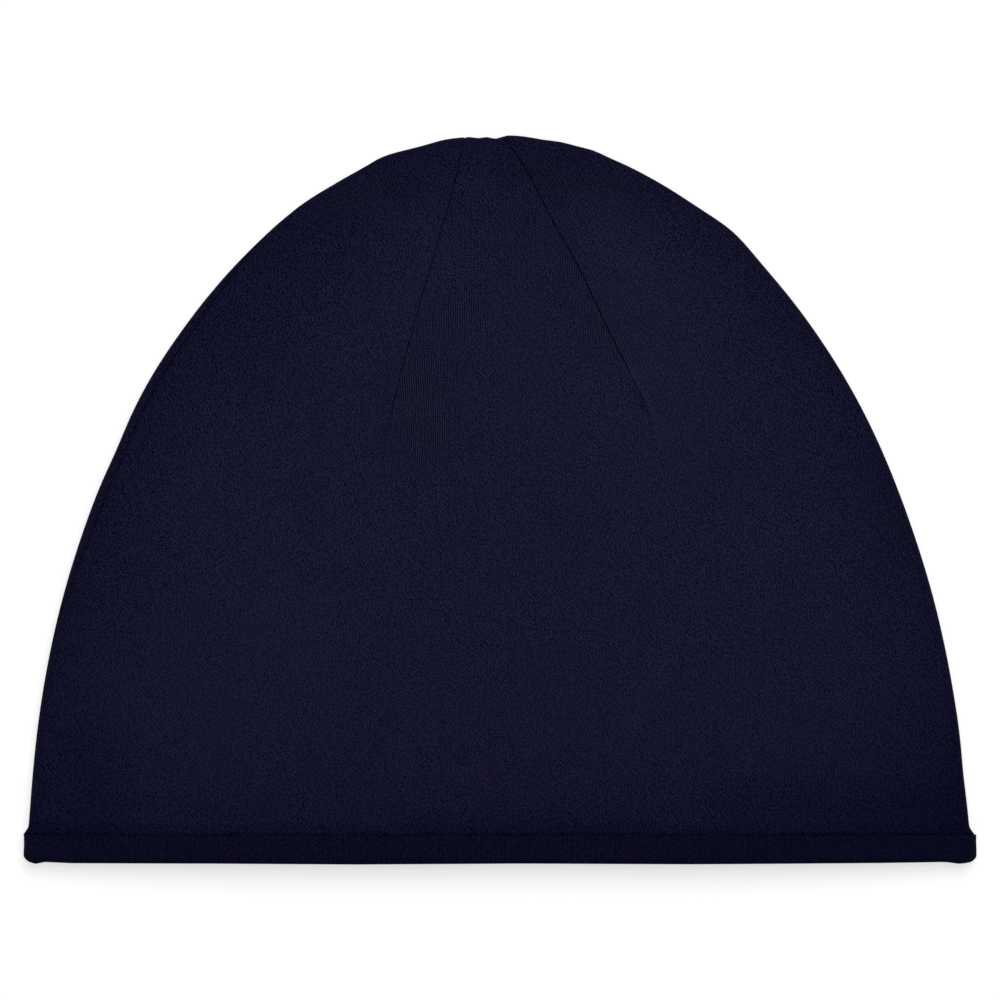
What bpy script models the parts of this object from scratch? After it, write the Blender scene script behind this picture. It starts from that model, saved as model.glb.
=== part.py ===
# A jersey beanie lying flat on its back: a front and a back panel of knitted jersey, each shaped
# at the crown by two darts and sewn to each other round the edge, and a folded hem band sewn
# round the mouth. Metres, +Z up, +Y towards the crown, and the mouth opens towards -Y.
# The origin is under the middle of the cap, on the surface that it lies on.

from math import atan2, cos, hypot, pi, radians, sin, sqrt

import bmesh
import bpy
import numpy as np
from mathutils import Vector

# Overall sizes
CAP_WIDTH = 0.2504         # across the hem band from fold to fold
CAP_LENGTH = 0.1911        # from the hem to the top of the crown
BAND_HEIGHT = 0.0076       # the folded strip round the mouth
BAND_STEP = 0.0014         # the band stands out this far past the panels at each fold
CROWN_SHIFT = 0.0003       # the crown lies this far left of the band's middle

# Cloth
JERSEY_WALL = 0.0014       # the panels, two plies of jersey
BAND_WALL = 0.0022         # the folded strip with its seam allowance
PANEL_FOLD = 0.0016        # inner radius of the side edge, where the panels lie together
BAND_FOLD = 0.0013         # inner radius of the band's two folded ends
BAND_SHOULDER = 0.0004     # rounding of the band's upper edge
SEAM_GAP = 0.0003          # clearance between sewn pieces

# How far the front stands above its side edge, and how far in from the edge it has risen
BODY_LOFT = 0.0095
BODY_REACH = 0.050
MOUTH_LOFT = 0.0045
MOUTH_REACH = 0.085
LOFT_RUN = 0.080           # from the mouth's loft to the body's, measured up from the band

# Sewn darts
DART_DEPTH = 0.0007        # the seam draws the cloth in by this much
DART_HALF_WIDTH = 0.0017
HEM_CORNER = 0.0018        # the hem runs up by this much at the folded ends

# The crown's outline is half an ellipse. Its sides are pulled in between band and crown by a
# share of its size, and the sewn edge has slight corners: where each lies, in degrees from the
# right end of the band over the crown, how far it stands out, and how far it spreads in degrees.
SIDE_PULL = 0.021
CORNERS = [
    {"angle": 60.0, "rise": 0.0040, "spread": 3.5},
    {"angle": 79.0, "rise": 0.0022, "spread": 4.0},
    {"angle": 90.5, "rise": -0.0030, "spread": 2.0},
    {"angle": 104.0, "rise": 0.0030, "spread": 5.0},
    {"angle": 138.5, "rise": 0.0025, "spread": 4.5},
]

# The sewn edge runs round the side fold. Its turn is a share of a quarter turn of that fold:
# 0 is the outermost line, 1 is on top of the fold and -1 is under it.
EDGE_SEAM = [
    {"angle": 0.0, "turn": -0.30},
    {"angle": 60.0, "turn": -0.35},
    {"angle": 92.0, "turn": -0.30},
    {"angle": 112.0, "turn": -0.10},
    {"angle": 132.0, "turn": 0.88},
    {"angle": 152.0, "turn": 0.88},
    {"angle": 166.0, "turn": 0.25},
    {"angle": 180.0, "turn": 0.05},
]

# The darts run from the crown edge down to a point. Across and up are shares of the crown's
# half width and of its length.
LEFT_DART = [
    {"across": -0.075, "up": 0.990},
    {"across": -0.094, "up": 0.931},
    {"across": -0.132, "up": 0.841},
    {"across": -0.170, "up": 0.752},
    {"across": -0.206, "up": 0.662},
    {"across": -0.234, "up": 0.586},
    {"across": -0.239, "up": 0.567},
]
RIGHT_DART = [
    {"across": 0.019, "up": 0.990},
    {"across": 0.062, "up": 0.950},
    {"across": 0.107, "up": 0.886},
    {"across": 0.166, "up": 0.816},
    {"across": 0.228, "up": 0.726},
    {"across": 0.285, "up": 0.650},
    {"across": 0.315, "up": 0.608},
    {"across": 0.325, "up": 0.573},
]

# Dents of the front panel: a line from one place to another, in the same shares, with its
# depth as a share of the body's loft and its spread as a share of the cap's width.
DENTS = [
    {"across": -0.264, "up": 0.955, "to_across": -0.211, "to_up": 0.909, "depth": 0.07, "spread": 0.030},
    {"across": 0.160, "up": 0.981, "to_across": 0.097, "to_up": 0.916, "depth": 0.06, "spread": 0.034},
    {"across": -0.262, "up": 0.572, "to_across": -0.215, "to_up": 0.556, "depth": 0.09, "spread": 0.036},
    {"across": 0.300, "up": 0.620, "to_across": 0.328, "to_up": 0.560, "depth": 0.09, "spread": 0.034},
]

# Counts of the panels' grid. A gore is the cloth between a dart and the side edge. Both panels
# have the same grid, so their sewn edges meet point by point.
GORE_COLUMNS = 7
MIDDLE_COLUMNS = 6
PANEL_ROWS = 22
EDGE_RINGS = (0.25, 0.42, 0.58, 0.73, 0.87, 0.985, 1.0)
BAND_END_STEPS = 8
BAND_SIDE_STEPS = 22

# Worked out from the sizes above
hem_y = -CAP_LENGTH / 2
panel_y = hem_y + BAND_HEIGHT + SEAM_GAP
crown_length = CAP_LENGTH - BAND_HEIGHT - SEAM_GAP
half_width = CAP_WIDTH / 2 - BAND_STEP
edge_radius = PANEL_FOLD + JERSEY_WALL
band_radius = BAND_FOLD + BAND_WALL
quarter_turn = edge_radius * pi / 2
ring_start = quarter_turn + edge_radius      # arc distance where the edge rings meet the grid


def smooth_step(share):
    share = min(max(share, 0.0), 1.0)
    return share * share * (3 - 2 * share)


def corner_rise(angle):
    """How far the outline stands out of its smooth shape, as a share of its size."""
    degrees_round = angle * 180 / pi
    total = 0.0
    for corner in CORNERS:
        total += corner["rise"] * np.exp(-((degrees_round - corner["angle"]) / corner["spread"]) ** 2)
    return total


def raw_swell(angle):
    """The outline's size in one direction, as a share of the ellipse."""
    beside = max(sin(2 * min(angle, pi - angle)), 0.0)
    pull = SIDE_PULL * sqrt(beside) * abs(cos(angle)) ** 0.7
    return 1 - pull + corner_rise(angle)


# The crown's highest point sets its length, so the swell is measured against it
top_reach = max(raw_swell(radians(half / 4)) * sin(radians(half / 4)) for half in range(240, 480))


def swell(angle):
    return 1 + (raw_swell(angle) / top_reach - 1)


def edge_distance(angle):
    """From the middle of the band to the ellipse's tangent at this direction."""
    return half_width * crown_length / hypot(half_width * sin(angle), crown_length * cos(angle))


def seam_arc(angle):
    """Arc distance of the sewn edge from the outermost line of the side fold."""
    degrees_round = angle * 180 / pi
    for row, following in zip(EDGE_SEAM, EDGE_SEAM[1:]):
        if degrees_round <= following["angle"]:
            share = (degrees_round - row["angle"]) / (following["angle"] - row["angle"])
            turn = row["turn"] + (following["turn"] - row["turn"]) * smooth_step(share)
            return turn * quarter_turn
    return EDGE_SEAM[-1]["turn"] * quarter_turn


def fold_height(inset, radius):
    """Height of a round fold above its middle, at a distance in from its outermost line."""
    inset = min(max(inset, 0.0), radius)
    return sqrt(radius * radius - (radius - inset) ** 2)


def top_height(inset, up, radius):
    """Height of the upper cloth over the fold's middle: round fold first, then a soft rise."""
    run = smooth_step(up / LOFT_RUN)
    loft = MOUTH_LOFT + (BODY_LOFT - MOUTH_LOFT) * run
    reach = MOUTH_REACH + (BODY_REACH - MOUTH_REACH) * run
    fold_turn = atan2(reach, 2 * loft)
    fold_end = radius * (1 - cos(fold_turn))
    if inset < fold_end:
        return fold_height(inset, radius)
    share = min((inset - fold_end) / reach, 1.0)
    return radius * sin(fold_turn) + loft * share * (2 - share)


def panel_point(angle, inset, upper):
    """A point of the panels' outer surface at a plan distance in from the outline."""
    scale = 1 - inset / edge_distance(angle)
    grown = 1 + (swell(angle) - 1) * scale * scale
    across = half_width * cos(angle) * scale * grown
    up = crown_length * sin(angle) * scale * grown
    if upper:
        height = edge_radius + top_height(inset, up, edge_radius)
    else:
        height = edge_radius - fold_height(inset, edge_radius)
    return Vector((across - CROWN_SHIFT, up + panel_y, height))


def edge_point(angle, arc):
    """A point of the side fold, or just inside it, by its arc from the outermost line."""
    turned = abs(arc)
    if turned < quarter_turn:
        inset = edge_radius * (1 - cos(turned / edge_radius))
    else:
        inset = edge_radius + turned - quarter_turn
    return panel_point(angle, inset, arc > 0)


def disc_place(u, v):
    """Turns a place in the panel's grid into a direction and a share of the way out."""
    across = u * sqrt(1 - v * v / 2)
    up = v * sqrt(1 - u * u / 2)
    return atan2(max(up, 0.0), across), min(hypot(across, up), 1.0)


def grid_place(across, up):
    """Turns shares across and up of the crown into a place in the panel's grid."""
    angle = atan2(up, across)
    inner = 1 - (edge_radius + ring_start - quarter_turn) / edge_distance(angle)
    out = min(hypot(across, up) / swell(angle) / inner, 1.0)
    x = out * cos(angle)
    y = out * sin(angle)
    root = 2 * sqrt(2.0)
    u = (sqrt(max(2 + x * x - y * y + root * x, 0)) - sqrt(max(2 + x * x - y * y - root * x, 0))) / 2
    v = (sqrt(max(2 - x * x + y * y + root * y, 0)) - sqrt(max(2 - x * x + y * y - root * y, 0))) / 2
    return u, v


def dart_column(dart):
    """The dart's line as grid columns by grid rows, from its lower end to the crown edge."""
    places = sorted((grid_place(row["across"], row["up"]) for row in dart), key=lambda place: place[1])
    return [place[1] for place in places], [place[0] for place in places]


left_rows, left_columns = dart_column(LEFT_DART)
right_rows, right_columns = dart_column(RIGHT_DART)


def column_place(index, row):
    """Place across the grid, with columns that follow both darts and the sides of their grooves."""
    left = float(np.interp(row, left_rows, left_columns))
    right = float(np.interp(row, right_rows, right_columns))
    narrow = DART_HALF_WIDTH / half_width
    left_side = narrow * (1 + 6 * smooth_step((left_rows[0] - row) / left_rows[0]))
    right_side = narrow * (1 + 6 * smooth_step((right_rows[0] - row) / right_rows[0]))
    if index <= GORE_COLUMNS:
        return -1 + (left - left_side + 1) * index / GORE_COLUMNS
    index -= GORE_COLUMNS + 1
    if index == 0:
        return left
    index -= 1
    if index <= MIDDLE_COLUMNS:
        start = left + left_side
        return start + (right - right_side - start) * index / MIDDLE_COLUMNS
    index -= MIDDLE_COLUMNS + 1
    if index == 0:
        return right
    index -= 1
    start = right + right_side
    return start + (1 - start) * index / GORE_COLUMNS


def line_distance(point, start, end):
    """Plan distance from a point to a line between two others."""
    line = end - start
    share = min(max((point - start).dot(line) / line.length_squared, 0.0), 1.0)
    return (point - start - line * share).length


def cap_place(across, up):
    return Vector((across * half_width - CROWN_SHIFT, up * crown_length + panel_y))


def drawn_in(point, front):
    """How far the cloth is drawn in at a plan point by the darts and by the front's dents."""
    depth = 0.0
    for dart in (LEFT_DART, RIGHT_DART):
        places = [cap_place(row["across"], row["up"]) for row in dart]
        near = min(line_distance(point, start, end) for start, end in zip(places, places[1:]))
        depth = max(depth, DART_DEPTH * (1 - near / DART_HALF_WIDTH))
    if front:
        for dent in DENTS:
            start = cap_place(dent["across"], dent["up"])
            end = cap_place(dent["to_across"], dent["to_up"])
            near = line_distance(point, start, end) / (dent["spread"] * CAP_WIDTH)
            depth += dent["depth"] * BODY_LOFT * smooth_step(1 - near)
    return depth


def cloth_material(name, colour):
    """Jersey: matt, dark navy."""
    material = bpy.data.materials.new(name)
    material.use_nodes = True
    shader = material.node_tree.nodes["Principled BSDF"]
    shader.inputs["Base Color"].default_value = (*colour, 1.0)
    shader.inputs["Roughness"].default_value = 0.9
    shader.inputs["Metallic"].default_value = 0.0
    return material


def finish_object(bm, name, material):
    mesh = bpy.data.meshes.new(name)
    bm.to_mesh(mesh)
    bm.free()
    mesh.shade_smooth()
    mesh.materials.append(material)
    obj = bpy.data.objects.new(name, mesh)
    bpy.context.scene.collection.objects.link(obj)
    return obj


def make_panel(name, front, material):
    """One panel: a grid over the crown's plan, then rings that turn round the side fold."""
    columns = 2 * GORE_COLUMNS + MIDDLE_COLUMNS + 4
    bm = bmesh.new()
    bmesh.ops.create_grid(bm, x_segments=columns, y_segments=PANEL_ROWS, size=1.0)
    turn = bm.verts.layers.float.new("angle")
    inner = edge_radius + ring_start - quarter_turn
    hem = set()
    for vert in bm.verts:
        index = round((vert.co.x + 1) / 2 * columns)
        row = (vert.co.y + 1) / 2
        angle, out = disc_place(column_place(index, row), row)
        vert[turn] = angle
        if row < 0.5 / PANEL_ROWS:
            hem.add(vert)
        inset = inner + (1 - out) * (edge_distance(angle) - inner)
        vert.co = panel_point(angle, inset, front)
    rim = [e for e in bm.edges if e.is_boundary and not (e.verts[0] in hem and e.verts[1] in hem)]
    side = 1 if front else -1
    for share in EDGE_RINGS:
        out = bmesh.ops.extrude_edge_only(bm, edges=rim)["geom"]
        ring = [item for item in out if isinstance(item, bmesh.types.BMVert)]
        rim = [item for item in out if isinstance(item, bmesh.types.BMEdge) and
               item.verts[0] in ring and item.verts[1] in ring]
        for vert in ring:
            angle = vert[turn]
            last = side * seam_arc(angle) + SEAM_GAP / 2
            arc = ring_start + (last - ring_start) * share
            vert.co = edge_point(angle, side * arc)
    bmesh.ops.recalc_face_normals(bm, faces=bm.faces[:])
    bm.normal_update()
    if sum(face.normal.z for face in bm.faces) * side < 0:
        bmesh.ops.reverse_faces(bm, faces=bm.faces[:])
    bm.normal_update()
    sunk = [(vert, vert.normal * drawn_in(vert.co.xy, front)) for vert in bm.verts]
    for vert, move in sunk:
        vert.co -= move
    obj = finish_object(bm, name, material)
    wall = obj.modifiers.new("Wall", "SOLIDIFY")
    wall.thickness = JERSEY_WALL
    wall.offset = -1.0
    wall.use_even_offset = True
    return obj


def band_profile():
    """Outer line of the band, seen from the mouth: over the top, round, and back underneath."""
    flat = CAP_WIDTH / 2 - band_radius
    points = []
    for side in (1, -1):
        for step in range(BAND_END_STEPS):
            turn = -pi / 2 + pi * step / BAND_END_STEPS
            inset = band_radius * (1 - cos(turn))
            points.append((side * (CAP_WIDTH / 2 - inset), side * turn >= 0, inset))
        for step in range(BAND_SIDE_STEPS):
            share = step / BAND_SIDE_STEPS
            across = side * flat * (1 - 2 * share)
            points.append((across, side > 0, CAP_WIDTH / 2 - abs(across)))
    outline = []
    for across, upper, inset in points:
        if upper:
            height = band_radius + top_height(inset, 0.0, band_radius)
        else:
            height = band_radius - fold_height(inset, band_radius)
        outline.append(Vector((across, height)))
    return outline


def band_section():
    """The folded strip cut across: depth in from its outer face, and height above the hem."""
    fold = BAND_WALL / 2
    section = [(BAND_SHOULDER, BAND_HEIGHT), (0.0, BAND_HEIGHT - BAND_SHOULDER)]
    for step in range(5):
        turn = pi * step / 4
        section.append((fold * (1 - cos(turn)), fold * (1 - sin(turn))))
    section.append((BAND_WALL, BAND_HEIGHT))
    return section


def make_band(name, material):
    """The hem band: its section carried round the flattened mouth and closed on itself."""
    outline = band_profile()
    section = band_section()
    count = len(outline)
    bm = bmesh.new()
    rings = []
    for number, point in enumerate(outline):
        along = outline[(number + 1) % count] - outline[number - 1]
        inwards = Vector((-along.y, along.x)).normalized()
        inset = CAP_WIDTH / 2 - abs(point.x)
        corner = HEM_CORNER * max(1 - inset / (2 * HEM_CORNER), 0.0) ** 2
        ring = []
        for depth, up in section:
            place = point + inwards * depth
            raised = up + corner * (1 - up / BAND_HEIGHT)
            ring.append(bm.verts.new((place.x, hem_y + raised, place.y)))
        rings.append(ring)
    edges = []
    for ring in rings:
        edges.append([bm.edges.new((ring[step - 1], ring[step])) for step in range(len(ring))])
    for number in range(count):
        bmesh.ops.bridge_loops(bm, edges=edges[number - 1] + edges[number])
    bmesh.ops.recalc_face_normals(bm, faces=bm.faces[:])
    return finish_object(bm, name, material)


for old in list(bpy.data.objects):
    bpy.data.objects.remove(old, do_unlink=True)

panel_cloth = cloth_material("navy_jersey", (0.0072, 0.0067, 0.0212))
band_cloth = cloth_material("navy_jersey_hem", (0.0058, 0.0054, 0.0172))

front_panel = make_panel("front_panel", True, panel_cloth)
back_panel = make_panel("back_panel", False, panel_cloth)
hem_band = make_band("hem_band", band_cloth)

beanie = bpy.data.objects.new("beanie", None)
bpy.context.scene.collection.objects.link(beanie)
for piece in (front_panel, back_panel, hem_band):
    piece.parent = beanie
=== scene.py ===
# A plain navy jersey beanie lying flat, seen from straight above on a pale floor.
from math import pi, radians, sin

import bmesh
import bpy
import numpy as np
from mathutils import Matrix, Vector, noise


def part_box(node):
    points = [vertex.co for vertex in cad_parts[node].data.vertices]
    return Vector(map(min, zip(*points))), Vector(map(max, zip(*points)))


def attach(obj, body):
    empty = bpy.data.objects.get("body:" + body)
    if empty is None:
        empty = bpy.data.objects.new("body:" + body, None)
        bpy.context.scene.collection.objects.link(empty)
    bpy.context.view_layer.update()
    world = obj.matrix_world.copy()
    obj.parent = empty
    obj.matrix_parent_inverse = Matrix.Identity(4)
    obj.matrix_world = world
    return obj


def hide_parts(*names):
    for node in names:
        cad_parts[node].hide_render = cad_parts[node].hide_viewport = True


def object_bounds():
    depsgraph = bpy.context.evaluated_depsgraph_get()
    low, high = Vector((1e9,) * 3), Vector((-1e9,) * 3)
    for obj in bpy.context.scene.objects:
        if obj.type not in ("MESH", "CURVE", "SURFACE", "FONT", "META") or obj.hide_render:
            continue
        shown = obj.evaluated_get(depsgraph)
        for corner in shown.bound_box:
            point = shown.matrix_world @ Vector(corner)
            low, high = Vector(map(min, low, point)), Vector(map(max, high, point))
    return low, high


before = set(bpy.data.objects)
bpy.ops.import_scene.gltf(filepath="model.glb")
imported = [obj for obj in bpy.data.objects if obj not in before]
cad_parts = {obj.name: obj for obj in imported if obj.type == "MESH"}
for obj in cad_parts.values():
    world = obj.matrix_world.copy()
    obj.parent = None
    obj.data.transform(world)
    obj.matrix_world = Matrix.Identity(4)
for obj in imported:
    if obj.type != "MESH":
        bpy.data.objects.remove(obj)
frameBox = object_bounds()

scene = bpy.context.scene
scene.view_settings.view_transform = "Standard"
scene.view_settings.look = "None"

# Places read from the frame: the hem, the sewn line above the band, the crown and the folds
bandLow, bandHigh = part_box("hem_band")
panelLow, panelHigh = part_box("front_panel")
hemY = bandLow.y
panelY = panelLow.y
crownLength = frameBox[1].y - panelY
bandHeight = bandHigh.y - bandLow.y
capWidth = bandHigh.x - bandLow.x

# The cap as it lies, in metres. These follow the construction, and the cloth is fitted to them.
cap = {
    "bandStep": 0.0014,      # the band stands out this far past the panels at each fold
    "crownShift": 0.0003,    # the crown lies this far left of the band's middle
    "clothWall": 0.0014,
    "bandWall": 0.0022,
    "foldRadius": 0.0030,    # outside of the panels' side fold
    "bandRadius": 0.0035,    # outside of the band's folded ends
    "bodyLoft": 0.0095,      # the front's rise over its side fold, in the body
    "bodyReach": 0.050,      # and how far in from the fold that height is reached
    "mouthLoft": 0.0045,     # the same at the mouth
    "mouthReach": 0.085,
    "loftRun": 0.080,        # the length over which the mouth's height turns into the body's
    "sidePull": 0.0206,      # the sides are this much flatter than an ellipse
    "sidePower": 0.7,
    "reach": 1.0018,         # the rounded cloth reaches this much past its fitted line
    "seamGap": 0.0001,       # between the two panels' sewn edges
    "hemGap": 0.00001,       # between a panel and the band
    "flare": 0.0010,         # at its corners a panel spreads out to the wider band
    "flareRun": 0.0019,
    "flareInset": 0.010,
    "liftRun": 0.0075,       # over this length the front rises to the thicker band
    "liftInset": 0.006,
}
halfWidth = capWidth / 2 - cap["bandStep"]
quarterTurn = cap["foldRadius"] * pi / 2
ringStart = quarterTurn + cap["foldRadius"]
innerInset = cap["foldRadius"] + ringStart - quarterTurn

# Slight corners of the sewn outline: angle from the band's right end over the crown
outlineCorners = [
    {"angle": 5.0, "rise": -0.0024, "spread": 2.5},
    {"angle": 12.0, "rise": -0.0027, "spread": 8.0},
    {"angle": 27.0, "rise": -0.0045, "spread": 10.0},
    {"angle": 45.0, "rise": -0.0018, "spread": 9.0},
    {"angle": 60.0, "rise": 0.0056, "spread": 3.5},
    {"angle": 70.0, "rise": -0.0007, "spread": 5.0},
    {"angle": 80.5, "rise": 0.0033, "spread": 2.4},
    {"angle": 84.5, "rise": -0.0010, "spread": 1.6},
    {"angle": 90.4, "rise": -0.0052, "spread": 1.0},
    {"angle": 92.4, "rise": -0.0030, "spread": 0.9},
    {"angle": 96.6, "rise": 0.0018, "spread": 2.0},
    {"angle": 104.5, "rise": 0.0046, "spread": 3.5},
    {"angle": 115.5, "rise": 0.0026, "spread": 4.0},
    {"angle": 138.5, "rise": 0.0014, "spread": 4.5},
    {"angle": 146.0, "rise": -0.0028, "spread": 3.0},
    {"angle": 152.0, "rise": -0.0019, "spread": 7.0},
]

# Where the sewn edge runs round the side fold, in quarter turns from its outermost line
edgeSeam = [
    {"angle": 0.0, "turn": -0.30},
    {"angle": 60.0, "turn": -0.35},
    {"angle": 92.0, "turn": -0.30},
    {"angle": 112.0, "turn": -0.10},
    {"angle": 132.0, "turn": 0.88},
    {"angle": 152.0, "turn": 0.88},
    {"angle": 166.0, "turn": 0.25},
    {"angle": 180.0, "turn": 0.05},
]

# Darts, in shares of the crown's half width and length, from the crown edge to the point
leftDart = [
    {"across": -0.072, "up": 1.000},
    {"across": -0.075, "up": 0.990},
    {"across": -0.094, "up": 0.931},
    {"across": -0.132, "up": 0.841},
    {"across": -0.170, "up": 0.752},
    {"across": -0.206, "up": 0.662},
    {"across": -0.234, "up": 0.586},
    {"across": -0.239, "up": 0.567},
]
rightDart = [
    {"across": 0.012, "up": 1.000},
    {"across": 0.019, "up": 0.990},
    {"across": 0.062, "up": 0.950},
    {"across": 0.107, "up": 0.886},
    {"across": 0.166, "up": 0.816},
    {"across": 0.228, "up": 0.726},
    {"across": 0.285, "up": 0.650},
    {"across": 0.315, "up": 0.608},
    {"across": 0.325, "up": 0.573},
]
seamLine = {
    "depth": 0.00012,        # the dart draws the cloth in this far over its whole width
    "halfWidth": 0.0009,
    "widePower": 1.5,
    "slitDepth": 0.0004,     # the sewn line itself is a narrow slit
    "slitHalf": 0.00014,
    "seamShadeReach": 1.25,
    "stitch": 0.0026,        # stitch length, which puckers the seam a little
    "pucker": 0.22,
    "endRun": 0.009,         # over its last stretch the line fades to this share
    "endShare": 0.45,
}
dartSteps = 90               # a dart's line is drawn with this many points
dartSoft = 9                 # and its bends are evened out over this many


def hexColour(text):
    # sRGB hex to linear
    parts = [int(text[at:at + 2], 16) / 255 for at in (1, 3, 5)]
    return tuple(p / 12.92 if p <= 0.04045 else ((p + 0.055) / 1.055) ** 2.4 for p in parts)


def addNode(tree, kind, inputs=None, **settings):
    made = tree.nodes.new(kind)
    for name, value in settings.items():
        setattr(made, name, value)
    for key, value in (inputs or {}).items():
        if isinstance(value, bpy.types.NodeSocket):
            tree.links.new(value, made.inputs[key])
        else:
            made.inputs[key].default_value = value
    return made


def easeStep(share):
    share = np.clip(share, 0.0, 1.0)
    return share * share * (3 - 2 * share)


# Camera: straight above the middle of the cap, with a long lens, as in the photograph
cameraSet = {"height": 2.4, "viewWidth": 0.2629, "sensor": 36.0, "focusLevel": 0.003, "far": 50.0}
cameraData = bpy.data.cameras.new("camera")
cameraData.sensor_width = cameraSet["sensor"]
reachDown = cameraSet["height"] - cameraSet["focusLevel"]
cameraData.lens = cameraSet["sensor"] * reachDown / cameraSet["viewWidth"]
cameraData.clip_end = cameraSet["far"]
camera = bpy.data.objects.new("camera", cameraData)
camera.location = (0.0, 0.0, cameraSet["height"])
scene.collection.objects.link(camera)
scene.camera = camera
print("camera made")


def rawSwell(angle):
    # the outline's size in one direction, as a share of the ellipse
    beside = np.maximum(np.sin(2 * np.minimum(angle, pi - angle)), 0.0)
    swell = 1 - cap["sidePull"] * np.sqrt(beside) * np.abs(np.cos(angle)) ** cap["sidePower"]
    for corner in outlineCorners:
        away = (np.degrees(angle) - corner["angle"]) / corner["spread"]
        swell = swell + corner["rise"] * np.exp(-away ** 2)
    return swell


# The outline is scaled so that its highest point reaches the crown's length
upperTurn = np.radians(np.arange(60.0, 120.0, 0.25))
topReach = float((rawSwell(upperTurn) * np.sin(upperTurn)).max()) / cap["reach"]


def edgeDistance(angle):
    # from the middle of the sewn line to the ellipse
    return halfWidth * crownLength / np.hypot(halfWidth * np.sin(angle), crownLength * np.cos(angle))


def planPlace(angle, inset):
    # plan point this far in from the outline, across and up from the middle of the sewn line
    scale = 1 - inset / edgeDistance(angle)
    grown = 1 + (rawSwell(angle) / topReach - 1) * scale * scale
    return halfWidth * np.cos(angle) * scale * grown, crownLength * np.sin(angle) * scale * grown


def foldHeight(inset, radius):
    inset = np.clip(inset, 0.0, radius)
    return np.sqrt(radius * radius - (radius - inset) ** 2)


def topHeight(inset, up, radius):
    # round side fold, then a soft rise to the loft, lower at the mouth than in the body
    run = easeStep(up / cap["loftRun"])
    loft = cap["mouthLoft"] + (cap["bodyLoft"] - cap["mouthLoft"]) * run
    reach = cap["mouthReach"] + (cap["bodyReach"] - cap["mouthReach"]) * run
    turn = np.arctan2(reach, 2 * loft)
    share = np.minimum((inset - radius * (1 - np.cos(turn))) / reach, 1.0)
    rise = radius * np.sin(turn) + loft * share * (2 - share)
    return np.where(share < 0, foldHeight(inset, radius), rise)


def panelPlaces(angle, inset, upper):
    across, up = planPlace(angle, inset)
    top = cap["foldRadius"] + topHeight(inset, up, cap["foldRadius"])
    under = cap["foldRadius"] - foldHeight(inset, cap["foldRadius"])
    flare = cap["flare"] * np.clip(1 - up / cap["flareRun"], 0, 1)
    across = across + np.sign(across) * flare * np.clip(1 - inset / cap["flareInset"], 0, 1)
    return np.stack([across - cap["crownShift"], up + panelY, np.where(upper, top, under)], axis=1)


def arcInset(arc):
    # how far in from the fold a point lies that is this far round it
    turned = np.abs(arc)
    onFold = cap["foldRadius"] * (1 - np.cos(np.minimum(turned, quarterTurn) / cap["foldRadius"]))
    return np.where(turned < quarterTurn, onFold, cap["foldRadius"] + turned - quarterTurn)


def seamArc(angle):
    # how far round the fold the sewn edge runs in one direction
    turns = np.degrees(angle)
    arc = np.full_like(turns, edgeSeam[-1]["turn"] * quarterTurn)
    for row, following in zip(edgeSeam, edgeSeam[1:]):
        span = (turns >= row["angle"]) & (turns <= following["angle"])
        share = easeStep((turns - row["angle"]) / (following["angle"] - row["angle"]))
        turn = row["turn"] + (following["turn"] - row["turn"]) * share
        arc = np.where(span, turn * quarterTurn, arc)
    return arc


def discPlace(u, v):
    # a point of the square grid laid on a round disc: its direction and its share of the way out
    across = u * np.sqrt(1 - v * v / 2)
    up = v * np.sqrt(1 - u * u / 2)
    return np.arctan2(np.maximum(up, 0.0), across), np.minimum(np.hypot(across, up), 1.0)


def gridPlace(angle, out):
    # and back from the disc to the square grid
    x = out * np.cos(angle)
    y = out * np.sin(angle)
    root = 2 * np.sqrt(2.0)
    u = np.sqrt(np.maximum(2 + x * x - y * y + root * x, 0))
    u = (u - np.sqrt(np.maximum(2 + x * x - y * y - root * x, 0))) / 2
    v = np.sqrt(np.maximum(2 - x * x + y * y + root * y, 0))
    v = (v - np.sqrt(np.maximum(2 - x * x + y * y - root * y, 0))) / 2
    return u, v


def dartPath(dart):
    # the dart's plan line in metres, as a closely spaced smooth run
    across = np.array([row["across"] for row in dart]) * halfWidth - cap["crownShift"]
    up = np.array([row["up"] for row in dart]) * crownLength + panelY
    along = np.concatenate([[0.0], np.cumsum(np.hypot(np.diff(across), np.diff(up)))])
    spaced = np.linspace(0.0, along[-1], dartSteps)
    path = np.stack([np.interp(spaced, along, across), np.interp(spaced, along, up)], axis=1)
    kernel = np.ones(dartSoft) / dartSoft
    kept = dartSoft // 2
    for axis in (0, 1):
        path[kept:-kept, axis] = np.convolve(path[:, axis], kernel, mode="valid")
    return path


def pathDistance(points, path):
    # plan distance of every point to a path, and how far along the path it lies
    best = np.full(len(points), np.inf)
    place = np.zeros(len(points))
    run = 0.0
    for start, end in zip(path, path[1:]):
        line = end - start
        length = float(np.hypot(*line))
        share = np.clip(((points - start) @ line) / (length * length), 0.0, 1.0)
        away = np.hypot(*(points - start - share[:, None] * line).T)
        nearer = away < best
        best = np.where(nearer, away, best)
        place = np.where(nearer, run + share * length, place)
        run += length
    return best, place


# How clearly each dart's line shows, and the angle that the dart takes out of the flat cloth
darts = [
    {"path": dartPath(leftDart), "shown": 0.75, "opening": radians(21)},
    {"path": dartPath(rightDart), "shown": 1.0, "opening": radians(22)},
]

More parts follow.
